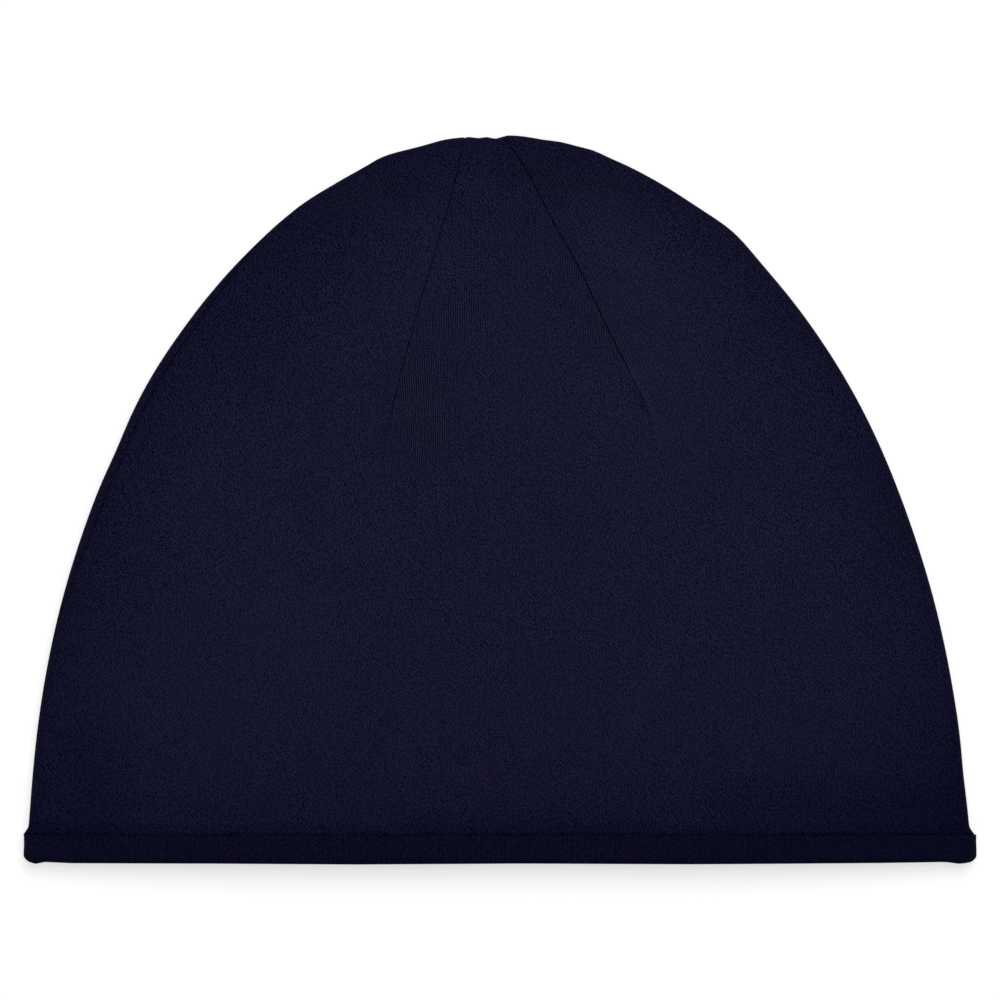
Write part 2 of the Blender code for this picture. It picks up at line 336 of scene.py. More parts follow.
# A panel's grid: columns in each gore and between the darts, rows, and rings round the fold.
# The columns beside a dart stand at the given shares of its groove.
clothGrid = {
    "gore": 44,
    "middle": 26,
    "rows": 150,
    "edgeRings": 16,
    "ringPower": 1.6,        # the rings lie closer towards the sewn edge
    "groove": 1.4,           # a groove's columns cover this many of its half widths
    "grooveSpread": 4,       # and past the dart's point they spread by this many more
    "leanSpread": radians(5),
}
grooveShares = np.array([-1.0, -0.62, -0.36, -0.2, -0.1, 0.0, 0.1, 0.2, 0.36, 0.62, 1.0])


def pathTurn(path):
    # the path's direction from the middle of the sewn line, by its distance in from the outline
    across = (path[:, 0] + cap["crownShift"]) / halfWidth
    up = (path[:, 1] - panelY) / crownLength
    angle = np.arctan2(up, across)
    inset = (1 - np.hypot(across, up) / (rawSwell(angle) / topReach)) * edgeDistance(angle)
    order = np.argsort(inset)
    return inset[order], angle[order]


def leanAngle(angle, inset):
    # near the crown edge, the columns beside a dart still follow it
    leaned = angle
    for dart in darts:
        insets, turns = pathTurn(dart["path"])
        start = np.interp(innerInset, insets, turns)
        near = np.exp(-((angle - start) / clothGrid["leanSpread"]) ** 2)
        leaned = leaned + near * (np.interp(np.maximum(inset, 0), insets, turns) - start)
    return leaned


def dartColumn(path):
    # the dart's column in the panel's grid, as far as the rings round the edge
    insets, turns = pathTurn(path)
    inner = insets > innerInset
    insets = np.concatenate([[innerInset], insets[inner]])
    turns = np.concatenate([[np.interp(innerInset, *pathTurn(path))], turns[inner]])
    out = (edgeDistance(turns) - insets) / (edgeDistance(turns) - innerInset)
    u, v = gridPlace(turns, out)
    order = np.argsort(v)
    return v[order], u[order]


leftRows, leftColumns = dartColumn(darts[0]["path"])
rightRows, rightColumns = dartColumn(darts[1]["path"])


def columnPlaces(rows):
    # for each row of the grid, the places of all its columns from the left edge to the right
    table = []
    narrow = clothGrid["groove"] * seamLine["halfWidth"] / halfWidth
    widen = clothGrid["grooveSpread"]
    for row in rows:
        left = np.interp(row, leftRows, leftColumns)
        right = np.interp(row, rightRows, rightColumns)
        leftSide = narrow * (1 + widen * easeStep((leftRows[0] - row) / leftRows[0]))
        rightSide = narrow * (1 + widen * easeStep((rightRows[0] - row) / rightRows[0]))
        table.append(np.concatenate([
            np.linspace(-1, left - leftSide, clothGrid["gore"] + 1)[:-1],
            left + leftSide * grooveShares,
            np.linspace(left + leftSide, right - rightSide, clothGrid["middle"] + 1)[1:-1],
            right + rightSide * grooveShares,
            np.linspace(right + rightSide, 1, clothGrid["gore"] + 1)[1:],
        ]))
    return np.array(table)


# Each row of the next tables is a line on the front: from and to, both across and up as shares of
# the crown, then how strong it is and how far it spreads, in metres.
# Dents, with their depth in metres. A negative depth is a ridge.
frontDents = [
    (-0.264, 0.955, -0.208, 0.905, 0.0006, 0.0022),
    (-0.270, 0.935, -0.235, 0.895, 0.0006, 0.0075),
    (0.160, 0.981, 0.097, 0.916, 0.0005, 0.0060),
    (0.195, 0.960, 0.135, 0.905, -0.0004, 0.0060),
    (0.050, 0.945, 0.068, 0.940, 0.0005, 0.0025),
    (-0.262, 0.560, -0.200, 0.552, -0.0005, 0.0030),
    (-0.262, 0.572, -0.236, 0.574, 0.0006, 0.0035),
    (-0.300, 0.600, -0.262, 0.556, -0.0004, 0.0045),
    (0.262, 0.670, 0.312, 0.624, -0.0006, 0.0030),
    (0.300, 0.622, 0.292, 0.606, 0.0006, 0.0018),
    (0.262, 0.640, 0.296, 0.615, 0.0005, 0.0035),
    (0.322, 0.600, 0.338, 0.560, -0.0003, 0.0040),
    (0.640, 0.010, 0.780, 0.006, -0.0003, 0.0016),
    (-0.020, 0.005, 0.065, 0.005, -0.00025, 0.0014),
]


def dartDepth(points):
    # groove of both darts, puckered along its stitches, and the painted shade in their sewn slits
    depth = np.zeros(len(points))
    seamShade = np.zeros(len(points))
    for dart in darts:
        path = dart["path"]
        away, along = pathDistance(points, path)
        left = easeStep((np.hypot(*(path[-1] - path[0])) - along) / seamLine["endRun"])
        fade = dart["shown"] * (seamLine["endShare"] + (1 - seamLine["endShare"]) * left)
        pucker = 1 - seamLine["pucker"] * (0.5 + 0.5 * np.cos(2 * pi * along / seamLine["stitch"]))
        wide = np.clip(1 - away / seamLine["halfWidth"], 0.0, 1.0) ** seamLine["widePower"]
        slit = np.clip(1 - away / seamLine["slitHalf"], 0.0, 1.0)
        sink = seamLine["depth"] * pucker * wide + seamLine["slitDepth"] * slit
        sewn = np.clip(seamLine["seamShadeReach"] - away / seamLine["slitHalf"], 0.0, 1.0)
        depth = np.maximum(depth, fade * sink)
        seamShade = np.maximum(seamShade, fade * sewn)
    return depth, seamShade


def awayFrom(points, line):
    # distance of every point to a line of one of the tables
    across, up, toAcross, toUp = line
    start = (across * halfWidth - cap["crownShift"], up * crownLength + panelY)
    end = (toAcross * halfWidth - cap["crownShift"], toUp * crownLength + panelY)
    return pathDistance(points, np.array([start, end]))[0]


def dentDepth(points):
    depth = np.zeros(len(points))
    for *line, deep, reach in frontDents:
        depth += deep * easeStep(1 - awayFrom(points, line) / reach)
    return depth


# Where the knit's columns stand out: beside the darts, under the crown edge and at the right side
ribPlaces = [
    (0.09, 0.955, 0.25, 0.915, 1.0, 0.014),
    (0.13, 0.860, 0.24, 0.700, 0.7, 0.010),
    (0.25, 0.730, 0.36, 0.660, 1.0, 0.014),
    (-0.36, 0.905, -0.24, 0.920, 0.9, 0.012),
    (-0.16, 0.650, -0.15, 0.570, 1.2, 0.014),
    (-0.12, 0.750, -0.08, 0.740, 0.9, 0.011),
    (-0.03, 0.860, 0.06, 0.860, 0.4, 0.014),
    (0.38, 0.520, 0.44, 0.510, 0.5, 0.012),
    (0.80, 0.500, 0.84, 0.440, 0.7, 0.014),
]
ribSet = {"core": 1.1, "strength": 1.4}    # fullest over the core, and clearer by the strength


def ribShare(points):
    share = np.zeros(len(points))
    for *line, clear, reach in ribPlaces:
        near = easeStep(ribSet["core"] - awayFrom(points, line) / reach)
        share = np.maximum(share, clear * near)
    return ribSet["strength"] * share


# The slight unevenness of cloth that was smoothed by hand: height in metres, waves to the metre
clothWaves = [
    {"height": 0.00022, "across": 20, "up": 14, "seed": 0},
    {"height": 0.00006, "across": 60, "up": 45, "seed": 7},
]


def clothWave(points, seed):
    wave = np.zeros(len(points))
    for row in clothWaves:
        spots = [Vector((x * row["across"], y * row["up"], seed + row["seed"])) for x, y in points]
        wave += row["height"] * np.array([noise.noise(spot) for spot in spots])
    return wave


def unrollDart(points, sides, path, closed):
    # lays the closed dart open again: the knit's grain turns by half the dart on each of its sides
    tip = path[-1]
    offset = points - tip
    radius = np.hypot(*offset.T)
    pathOffset = path[::-1] - tip
    pathRadius = np.hypot(*pathOffset.T)
    pathAngle = np.unwrap(np.arctan2(pathOffset[1:, 1], pathOffset[1:, 0]))
    cut = np.interp(radius, pathRadius[1:], pathAngle)
    angle = np.arctan2(offset[:, 1], offset[:, 0])
    roundCut = np.mod(angle - cut, 2 * pi)
    sideOffset = sides - tip
    sideCut = np.interp(np.hypot(*sideOffset.T), pathRadius[1:], pathAngle)
    sideRound = np.mod(np.arctan2(sideOffset[:, 1], sideOffset[:, 0]) - sideCut, 2 * pi)
    roundCut = np.where(roundCut - sideRound > pi, roundCut - 2 * pi, roundCut)
    roundCut = np.where(sideRound - roundCut > pi, roundCut + 2 * pi, roundCut)
    turned = angle - (roundCut - pi) * closed / (2 * pi)
    return tip + radius[:, None] * np.stack([np.cos(turned), np.sin(turned)], axis=1)


def grainPlaces(points, sides):
    # both darts laid open one after the other, the right one where the left one's opening puts it
    left, right = darts
    flat = unrollDart(points, sides, left["path"], left["opening"])
    flatSides = unrollDart(sides, sides, left["path"], left["opening"])
    rightSides = np.repeat([[0.0, panelY]], len(right["path"]), axis=0)
    rightFlat = unrollDart(right["path"], rightSides, left["path"], left["opening"])
    return unrollDart(flat, flatSides, rightFlat, right["opening"])


def makeSheet(bm, name, materials, wall):
    mesh = bpy.data.meshes.new(name)
    bm.to_mesh(mesh)
    bm.free()
    mesh.shade_smooth()
    for material in materials:
        mesh.materials.append(material)
    obj = bpy.data.objects.new(name, mesh)
    scene.collection.objects.link(obj)
    solid = obj.modifiers.new("wall", "SOLIDIFY")
    solid.thickness = wall
    solid.offset = -1.0
    solid.material_offset = 1
    solid.material_offset_rim = 0
    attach(obj, "root")
    return obj


# Jersey: what its knit measures, in metres and in stitches, and how dark the navy yarn is
jersey = {
    "wale": 0.00057,
    "course": 0.00046,
    "lean": 0.55,            # how steeply the two legs of a stitch rise, in courses
    "wander": (0.35, 0.6),   # how far yarn strays across and along, in stitches
    "legShare": 0.45,        # how much of the knit's height is the loop's leg, and how much its column
    "columnShare": 0.55,
    "purlShare": 0.7,        # on the inside, small bars instead
    "purlBase": 0.1,
    "middle": 0.53,          # the knit's middle height, which is painted with this share of the yarn against the stitch shade
    "middleLight": 0.5,
    "relief": 0.00006,
    "cells": (2.0, 1.5),     # parts of a stitch that take the light on their own, across and along
    "uneven": 0.91,
    "beside": -0.27,         # a bright one lies beside darker ones, so the cloth stays even
    "shadedUneven": 1.15,    # where shade is painted the knit is more uneven, and clear columns are less so
    "ribsUneven": -0.25,
    # below the first place only this share of the unevenness is left, and above the second all
    "low": (-0.058, -0.032, 0.83),
    "yarn": "#1F1F36",       # dyed cotton, almost black with a blue cast
    "warmYarn": "#201E34",   # where the dye took a little redder
    "stitchShade": "#000014",        # painted shade between the stitches, a deep blue
    # painted shade in the sewn slits and along the sewn edges
    "seamShade": "#020207",
    "roughness": 0.62,
    "specular": 0.012,       # matt fibres trap most of what a smooth surface would reflect
    "sheen": 0.002,          # a little fuzz catches light along the folds
    "sheenRoughness": 0.5,
    "sheenTint": "#8A8CB4",
}
# Soft changes over the cloth: the noise between start and end is spread over low to high
jerseyClouds = {
    "wander": {"scale": 900.0, "detail": 1.0, "start": 0.0, "end": 1.0, "low": -0.5, "high": 0.5},
    "columns": {"scale": 60.0, "detail": 2.0, "start": 0.38, "end": 0.62, "low": 0.3, "high": 0.62},
    "contrast": {"scale": 80.0, "detail": 2.0, "start": 0.36, "end": 0.64, "low": 0.9, "high": 1.12},
    "light": {"scale": 18.0, "detail": 3.0, "start": 0.3, "end": 0.7, "low": 0.975, "high": 1.025},
    "dye": {"scale": 420.0, "detail": 1.0, "start": 0.35, "end": 0.65, "low": 0.0, "high": 1.0},
}


def jerseyMaterial(name, settings, purl):
    # dyed single-knit jersey: columns of V stitches outside, rows of small bars inside
    material = bpy.data.materials.new(name)
    material.use_nodes = True
    tree = material.node_tree
    tree.nodes.clear()

    def maths(operation, first, second=0.0, third=0.0):
        node = addNode(tree, "ShaderNodeMath", {0: first, 1: second, 2: third}, operation=operation)
        return node.outputs[0]

    def spread(value, low, high, start=0.0, end=1.0):
        node = addNode(tree, "ShaderNodeMapRange", {"Value": value, "From Min": start, "From Max": end,
                                                    "To Min": low, "To Max": high})
        return node.outputs[0]

    def mixed(share, first, second, **options):
        node = addNode(tree, "ShaderNodeMix", {"Factor": share, 6: first, 7: second},
                       data_type="RGBA", **options)
        return node.outputs[2]

    def shade(key):
        return (*hexColour(settings[key]), 1)

    def written(key):
        return addNode(tree, "ShaderNodeAttribute", attribute_name=key).outputs["Fac"]

    grain = addNode(tree, "ShaderNodeUVMap", uv_map="knit").outputs["UV"]

    def cloud(key):
        row = jerseyClouds[key]
        node = addNode(tree, "ShaderNodeTexNoise", {"Vector": grain, "Scale": row["scale"],
                                                    "Detail": row["detail"]}, noise_dimensions="2D")
        return spread(node.outputs["Fac"], row["low"], row["high"], row["start"], row["end"])

    # where in its stitch each point of the cloth lies, and how high the yarn stands there
    place = addNode(tree, "ShaderNodeSeparateXYZ", {0: grain})
    stray = cloud("wander")
    strayAcross, strayAlong = [maths("MULTIPLY", stray, far) for far in settings["wander"]]
    across = maths("MULTIPLY_ADD", place.outputs["X"], 1 / settings["wale"], strayAcross)
    along = maths("MULTIPLY_ADD", place.outputs["Y"], 1 / settings["course"], strayAlong)
    waleShare = maths("FRACT", across)
    legSide = maths("ABSOLUTE", maths("SUBTRACT", waleShare, 0.5))
    risen = maths("MULTIPLY_ADD", legSide, -2 * settings["lean"], along)
    loop = maths("SINE", maths("MULTIPLY", maths("FRACT", risen), pi))
    if purl:
        high = maths("MULTIPLY_ADD", loop, settings["purlShare"], settings["purlBase"])
    else:
        leg = maths("SINE", maths("MULTIPLY", legSide, 2 * pi))
        column = maths("SINE", maths("MULTIPLY", waleShare, pi))
        column = maths("MULTIPLY", column, settings["columnShare"])
        high = maths("MULTIPLY_ADD", maths("MULTIPLY", leg, loop), settings["legShare"], column)
    # the columns stand out in some places and lie smooth in others
    ribs = written("ribs")
    clear = maths("ADD", cloud("columns"), ribs)
    knit = maths("SUBTRACT", high, settings["middle"])
    knit = maths("MULTIPLY_ADD", knit, clear, settings["middleLight"])
    # each half of a stitch's leg takes the light a little differently
    cellsAcross, cellsAlong = settings["cells"]
    cell = addNode(tree, "ShaderNodeCombineXYZ", {
        "X": maths("FLOOR", maths("MULTIPLY", across, cellsAcross)),
        "Y": maths("FLOOR", maths("MULTIPLY", risen, cellsAlong))})
    uneven = 0.0
    beside = settings["beside"]
    for step, weight in (((0, 0, 0), 1.0), ((1, 0, 0), beside), ((0, 1, 0), beside)):
        spot = addNode(tree, "ShaderNodeVectorMath", {0: cell.outputs[0], 1: step}, operation="ADD")
        chance = addNode(tree, "ShaderNodeTexWhiteNoise", {"Vector": spot.outputs[0]},
                         noise_dimensions="2D")
        uneven = maths("MULTIPLY_ADD", spread(chance.outputs["Value"], -1.0, 1.0), weight, uneven)
    # painted shade, written on the mesh: it darkens the cloth and makes its knit more uneven
    closed = written("closed")
    contrast = maths("MULTIPLY_ADD", closed, settings["shadedUneven"], cloud("contrast"))
    contrast = maths("MULTIPLY", contrast, maths("MULTIPLY_ADD", ribs, settings["ribsUneven"], 1.0))
    lowest, highest, lowShare = settings["low"]
    contrast = maths("MULTIPLY", contrast, spread(place.outputs["Y"], lowShare, 1.0, lowest, highest))
    uneven = maths("MULTIPLY", uneven, settings["uneven"])
    legLight = maths("MAXIMUM", maths("MULTIPLY_ADD", uneven, contrast, 1.0), 0.0)
    # the painted light that is left after the painted shade, varied a little at random
    paintedLight = maths("MULTIPLY", cloud("light"), maths("SUBTRACT", 1.0, closed))
    lit = maths("MULTIPLY", maths("MULTIPLY", knit, legLight), paintedLight)
    yarn = mixed(cloud("dye"), shade("yarn"), shade("warmYarn"))
    # painted shade: the knit's low parts, and the places of painted shade, go towards the stitch shade
    # colour
    colour = mixed(lit, shade("stitchShade"), yarn, clamp_factor=False)
    # painted shade in the sewn slits and along the sewn edges
    sewn = mixed(written("seamShade"), colour, shade("seamShade"))
    bump = addNode(tree, "ShaderNodeBump", {"Height": maths("MULTIPLY", knit, settings["relief"]),
                                            "Strength": 1.0, "Distance": 1.0})
    shader = addNode(tree, "ShaderNodeBsdfPrincipled", {
        "Base Color": sewn, "Normal": bump.outputs[0], "Roughness": settings["roughness"],
        "Specular IOR Level": settings["specular"], "Sheen Weight": settings["sheen"],
        "Sheen Roughness": settings["sheenRoughness"], "Sheen Tint": shade("sheenTint")})
    addNode(tree, "ShaderNodeOutputMaterial", {"Surface": shader.outputs[0]})
    return material


knitOutside = jerseyMaterial("navyJersey", jersey, False)
knitInside = jerseyMaterial("navyJerseyInside", jersey, True)
bandKnit = jerseyMaterial("navyJerseyHem", jersey, False)
print("materials made")


def writeKnit(mesh, faceUVs):
    layer = mesh.uv_layers.new(name="knit")
    layer.data.foreach_set("uv", faceUVs.ravel())


def writeShade(mesh, closed, seamShade, ribs):
    # the first two attributes carry painted shade: of the cloth, and of its seams
    for name, values in (("closed", closed), ("seamShade", seamShade), ("ribs", ribs)):
        attribute = mesh.attributes.new(name=name, type="FLOAT", domain="POINT")
        attribute.data.foreach_set("value", values)


# Painted shade: how much darker the cloth is painted towards the hem and the folded sides, as a share,
# and the distance over which that fades. The outermost line of a fold, which turns away from the light,
# is painted darker still.
paintedShadeFalloff = {
    "hem": (0.42, 0.0145),
    "side": (0.38, 0.0145),
    "edge": (0.95, 0.0004),
}
# Painted shade in a strip just above the band, where the seam's allowance lies under the cloth
paintedSeamShade = {"share": 0.20, "start": 0.0025, "end": 0.0034}
# Places painted darker, as painted shade, or with a negative share painted lighter, as painted light
paintedShadePlaces = [
    (0.274, 0.672, 0.317, 0.612, -0.35, 0.0013),
    (0.303, 0.616, 0.298, 0.604, 0.60, 0.0011),
    (0.50, 0.042, 0.94, 0.036, 0.26, 0.013),
    (-0.86, 0.120, -0.84, 0.030, 0.23, 0.016),
    (-0.60, 0.020, 0.50, 0.020, 0.08, 0.007),
    (-0.20, 0.945, 0.16, 0.950, 0.10, 0.011),
    (-0.34, 0.860, -0.33, 0.840, 0.10, 0.013),
    (-0.21, 0.018, 0.30, 0.014, 0.14, 0.006),
    (0.26, 0.870, 0.44, 0.650, -0.07, 0.017),
    (0.22, 0.860, 0.36, 0.520, -0.11, 0.015),
    (0.05, 0.690, 0.25, 0.610, -0.05, 0.030),
    (-0.72, 0.190, -0.46, 0.270, -0.07, 0.030),
    (-0.42, 0.82, -0.50, 0.72, 0.13, 0.030),
    (0.97, 0.10, 0.90, 0.02, 0.22, 0.036),
]
# The faint ripples of two plies that lie on each other, drawn only as painted shade and painted light,
# given in the same way
paintedRippleShade = [
    (-0.491, 0.505, -0.379, 0.455, 0.090, 0.0032),
    (-0.495, 0.408, -0.315, 0.362, 0.045, 0.0036),
    (-0.315, 0.362, -0.241, 0.369, 0.055, 0.0036),
    (-0.145, 0.651, -0.071, 0.666, 0.045, 0.0036),
    (-0.071, 0.666, 0.046, 0.637, 0.075, 0.0036),
    (0.110, 0.766, 0.226, 0.723, 0.045, 0.0040),
    (0.088, 0.479, 0.120, 0.448, 0.095, 0.0042),
    (0.163, 0.444, 0.163, 0.379, 0.085, 0.0036),
    (-0.113, 0.279, 0.078, 0.262, 0.050, 0.0050),
    (0.364, 0.279, 0.275, 0.153, -0.095, 0.0052),
    (0.230, 0.214, 0.205, 0.150, 0.030, 0.0050),
    (0.194, 0.544, 0.205, 0.508, -0.120, 0.0034),
    (0.194, 0.651, 0.230, 0.580, -0.065, 0.0040),
    (0.470, 0.666, 0.534, 0.587, 0.090, 0.0030),
    (0.534, 0.587, 0.598, 0.508, 0.055, 0.0030),
    (0.375, 0.701, 0.428, 0.666, -0.100, 0.0030),
    (-0.039, 0.458, -0.156, 0.393, 0.070, 0.0040),
    (0.375, 0.444, 0.311, 0.365, 0.025, 0.0036),
    (-0.156, 0.859, -0.209, 0.709, -0.055, 0.0050),
    (-0.054, 0.928, -0.001, 0.928, -0.110, 0.0046),
    (-0.103, 0.899, 0.067, 0.880, 0.110, 0.0036),
    (-0.612, 0.551, -0.697, 0.436, -0.035, 0.0080),
]


def paintedShadeShare(points, inset):
    # painted shade: how much darker each point is painted, as a share
    up = np.maximum(points[:, 1] - panelY, 0)
    light = np.ones(len(points))
    for key, far in (("hem", up), ("side", inset), ("edge", inset)):
        share, run = paintedShadeFalloff[key]
        light *= 1 - share * np.exp(-far / run)
    beyond = (up - paintedSeamShade["start"]) / (paintedSeamShade["end"] - paintedSeamShade["start"])
    light *= 1 - paintedSeamShade["share"] * (1 - easeStep(beyond))
    for *line, lost, reach in paintedShadePlaces + paintedRippleShade:
        light *= 1 - lost * easeStep(1 - awayFrom(points, line) / reach)
    return 1 - light


# How the panels' edges roll in to their seams, in metres
panelEdge = {
    "roll": 0.0010,
    "seamSink": 0.00022,
    "hemSink": 0.00001,
    "onHem": 0.0001,         # only the hem's own points lie this near to it
    "seamShade": 0.3,           # how dark the painted shade along the sewn edge is
    "seamShadeRun": 0.0009,
    "calm": 0.02,            # the cloth's unevenness ends this far from its edges
    "frontSeed": 3.0,
    "backSeed": 11.0,
}


panelLayers = ("angle", "inset", "fold")


def panelGrid(bm, front):
    # a grid over the crown's plan, with where each point lies kept in layers; gives its open rim
    rows = clothGrid["rows"]
    columns = 2 * clothGrid["gore"] + clothGrid["middle"] + 2 * (len(grooveShares) - 1)
    bmesh.ops.create_grid(bm, x_segments=columns, y_segments=rows, size=1.0)
    layers = [bm.verts.layers.float.new(key) for key in panelLayers]
    rowShares = np.linspace(0.0, 1.0, rows + 1)
    table = columnPlaces(rowShares)
    spots = np.array([vert.co[:2] for vert in bm.verts])
    column = np.rint((spots[:, 0] + 1) / 2 * columns).astype(int)
    row = np.rint((spots[:, 1] + 1) / 2 * rows).astype(int)
    angle, out = discPlace(table[row, column], rowShares[row])
    inset = innerInset + (1 - out) * (edgeDistance(angle) - innerInset)
    for vert, place, turn, far in zip(bm.verts, panelPlaces(angle, inset, front), angle, inset):
        vert.co = place
        for layer, value in zip(layers, (turn, far, far)):
            vert[layer] = value
    hem = {vert for vert, at in zip(bm.verts, row) if at == 0}
    rim = [e for e in bm.edges if e.is_boundary and not (e.verts[0] in hem and e.verts[1] in hem)]
    return layers, rim


def rollRim(bm, layers, rim, front):
    # rings that turn the rim round the side fold to the sewn edge
    angleLayer, insetLayer, foldLayer = layers
    side = 1 if front else -1
    steps = np.arange(1, clothGrid["edgeRings"] + 1) / clothGrid["edgeRings"]
    for share in 1 - (1 - steps) ** clothGrid["ringPower"]:
        out = bmesh.ops.extrude_edge_only(bm, edges=rim)["geom"]
        ring = [item for item in out if isinstance(item, bmesh.types.BMVert)]
        inRing = set(ring)
        rim = [item for item in out if isinstance(item, bmesh.types.BMEdge)
               and item.verts[0] in inRing and item.verts[1] in inRing]
        turns = np.array([vert[angleLayer] for vert in ring])
        last = side * seamArc(turns) + cap["seamGap"] / 2
        arc = ringStart + (last - ringStart) * share
        upper = arc > 0 if front else arc < 0
        ringInset = arcInset(arc)
        places = panelPlaces(leanAngle(turns, ringInset), ringInset, upper)
        for vert, place, far, near in zip(ring, places, arc, ringInset):
            vert.co = place
            vert[insetLayer] = cap["foldRadius"] + far - quarterTurn
            vert[foldLayer] = near


def sortFaces(bm):
    # in the order of their corners, because an extrusion leaves them in a different order each run
    bm.verts.index_update()
    count = len(bm.verts)

    def faceOrder(face):
        lowest, following = sorted(vert.index for vert in face.verts)[:2]
        return lowest * count + following

    bm.faces.sort(key=faceOrder)


def makePanel(name, front):
    side = 1 if front else -1
    bm = bmesh.new()
    layers, rim = panelGrid(bm, front)
    rollRim(bm, layers, rim, front)
    sortFaces(bm)
    bmesh.ops.recalc_face_normals(bm, faces=bm.faces[:])
    bm.normal_update()
    if sum(face.normal.z for face in bm.faces) * side < 0:
        bmesh.ops.reverse_faces(bm, faces=bm.faces[:])
        bm.normal_update()
    angle, inset, fold = [np.array([vert[layer] for vert in bm.verts]) for layer in layers]
    base = np.array([vert.co[:] for vert in bm.verts])
    normals = np.array([vert.normal[:] for vert in bm.verts])
    plan = base[:, :2]
    # darts, dents and the edges that roll in to the seams
    sink, seamShade = dartDepth(plan)
    if front:
        sink += dentDepth(plan)
    edgeArc = cap["foldRadius"] + side * seamArc(angle) + cap["seamGap"] / 2 - quarterTurn
    fromSeam = np.maximum(inset - edgeArc, 0)
    fromHem = np.maximum(plan[:, 1] - panelY, 0)
    sink += panelEdge["seamSink"] * np.clip(1 - fromSeam / panelEdge["roll"], 0, 1) ** 2
    sink += panelEdge["hemSink"] * np.clip(1 - fromHem / panelEdge["roll"], 0, 1) ** 2
    sewn = panelEdge["seamShade"] * np.clip(1 - fromSeam / panelEdge["seamShadeRun"], 0, 1)
    seamShade = np.maximum(seamShade, sewn)
    calm = np.zeros(len(plan))
    if front:
        calm = easeStep(inset / panelEdge["calm"]) * easeStep(fromHem / panelEdge["calm"])
    wave = clothWave(plan, panelEdge["frontSeed" if front else "backSeed"])
    moved = base - normals * (sink - wave * calm)[:, None]
    # the panel meets the band edge to edge, and the front comes up level with it
    toBand = panelY - bandHigh.y - cap["hemGap"]
    moved[:, 1] -= np.where(fromHem < panelEdge["onHem"], toBand, 0.0)
    if front:
        lift = 2 * (cap["bandRadius"] - cap["foldRadius"])
        lift = lift * easeStep(fold / cap["liftInset"])
        moved[:, 2] += lift * easeStep(1 - fromHem / cap["liftRun"])
    for vert, place in zip(bm.verts, moved):
        vert.co = place
    # knit grain: the plan laid flat, with the folded rim rolled out and both darts laid open
    across, up = planPlace(angle, inset)
    rolled = np.stack([across - cap["crownShift"], up + panelY], axis=1)
    bm.faces.ensure_lookup_table()
    bm.verts.index_update()
    corners = np.array([[loop.vert.index for loop in face.loops] for face in bm.faces])
    middles = rolled[corners].mean(axis=1)
    grain = grainPlaces(rolled[corners].reshape(-1, 2), np.repeat(middles, 4, axis=0))
    for key in panelLayers:
        bm.verts.layers.float.remove(bm.verts.layers.float[key])
    cloth = makeSheet(bm, name, [knitOutside, knitInside], cap["clothWall"])
    writeKnit(cloth.data, grain)
    ribs = ribShare(plan) if front else np.zeros(len(plan))
    writeShade(cloth.data, paintedShadeShare(plan, fold), seamShade, ribs)
    return cloth


frontCloth = makePanel("frontCloth", True)
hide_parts("front_panel")
print("front panel made")
backCloth = makePanel("backCloth", False)
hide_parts("back_panel")
print("back panel made")

# Hem band: a strip folded in half lengthwise and sewn round the mouth
hem = {
    "endSteps": 24,
    "sideSteps": 220,
    "foldSteps": 10,
    "wallSteps": 8,
    "ply": 0.0009,           # one layer of the strip
    "outside": 0.0011,       # its outer layer lies above this depth
    "shoulder": 0.00003,     # rounding of the strip into the seam
    "cornerRise": 0.0006,    # the hem runs up a little at its folded ends
    "cornerRun": 0.0013,
    "pucker": 0.00004,       # at the stitches, fading down the strip
    "puckerPower": 3,
    "soft": 0.00018,         # the strip's slight unevenness, and its waves to the metre
    "softWaves": (90, 200),
    "ribs": 1.3,
    "closed": 0.64,          # painted shade: how much darker the band is painted
    "edge": (0.96, 0.0005),  # painted shade where the fold's outermost line turns away from the light
    "lower": (0.11, 0.0016),  # and above it the strip is painted a little darker still, as painted shade
}
# The strip's rounding into the seam: inwards and down, as shares of its size
shoulderCurve = [(1.1, 0.0), (0.45, 0.3), (0.12, 0.9), (0.0, 1.8)]
# Painted light along the band, lighter towards the left: across as a share of the half width
hemPaintedLight = [
    {"across": -1.0, "light": 1.08},
    {"across": 0.1, "light": 1.11},
    {"across": 0.5, "light": 1.01},
    {"across": 1.0, "light": 0.96},
]
# The hem's edge isn't quite straight: across as a share of the half width, rise in metres
hemEdge = [
    {"across": -1.00, "rise": 0.0006},
    {"across": -0.975, "rise": 0.0000},
    {"across": -0.955, "rise": 0.0005},
    {"across": -0.90, "rise": 0.0002},
    {"across": -0.60, "rise": 0.0002},
    {"across": -0.30, "rise": 0.0000},
    {"across": 0.05, "rise": 0.00025},
    {"across": 0.40, "rise": 0.00005},
    {"across": 0.80, "rise": 0.0003},
    {"across": 0.935, "rise": 0.0005},
    {"across": 0.965, "rise": 0.0000},
    {"across": 1.00, "rise": 0.0005},
]


def bandOutline():
    radius = cap["bandRadius"]
    flat = capWidth / 2 - radius
    across = []
    inset = []
    upper = []
    for side in (1, -1):
        turn = -pi / 2 + pi * np.arange(hem["endSteps"]) / hem["endSteps"]
        endInset = radius * (1 - np.cos(turn))
        across.append(side * (capWidth / 2 - endInset))
        inset.append(endInset)
        upper.append(side * turn >= 0)
        share = np.arange(hem["sideSteps"]) / hem["sideSteps"]
        straight = side * flat * (1 - 2 * share)
        across.append(straight)
        inset.append(capWidth / 2 - np.abs(straight))
        upper.append(np.full(hem["sideSteps"], side > 0))
    across = np.concatenate(across)
    inset = np.concatenate(inset)
    upper = np.concatenate(upper)
    top = radius + topHeight(inset, np.zeros(len(inset)), radius)
    under = radius - foldHeight(inset, radius)
    return across, np.where(upper, top, under), inset


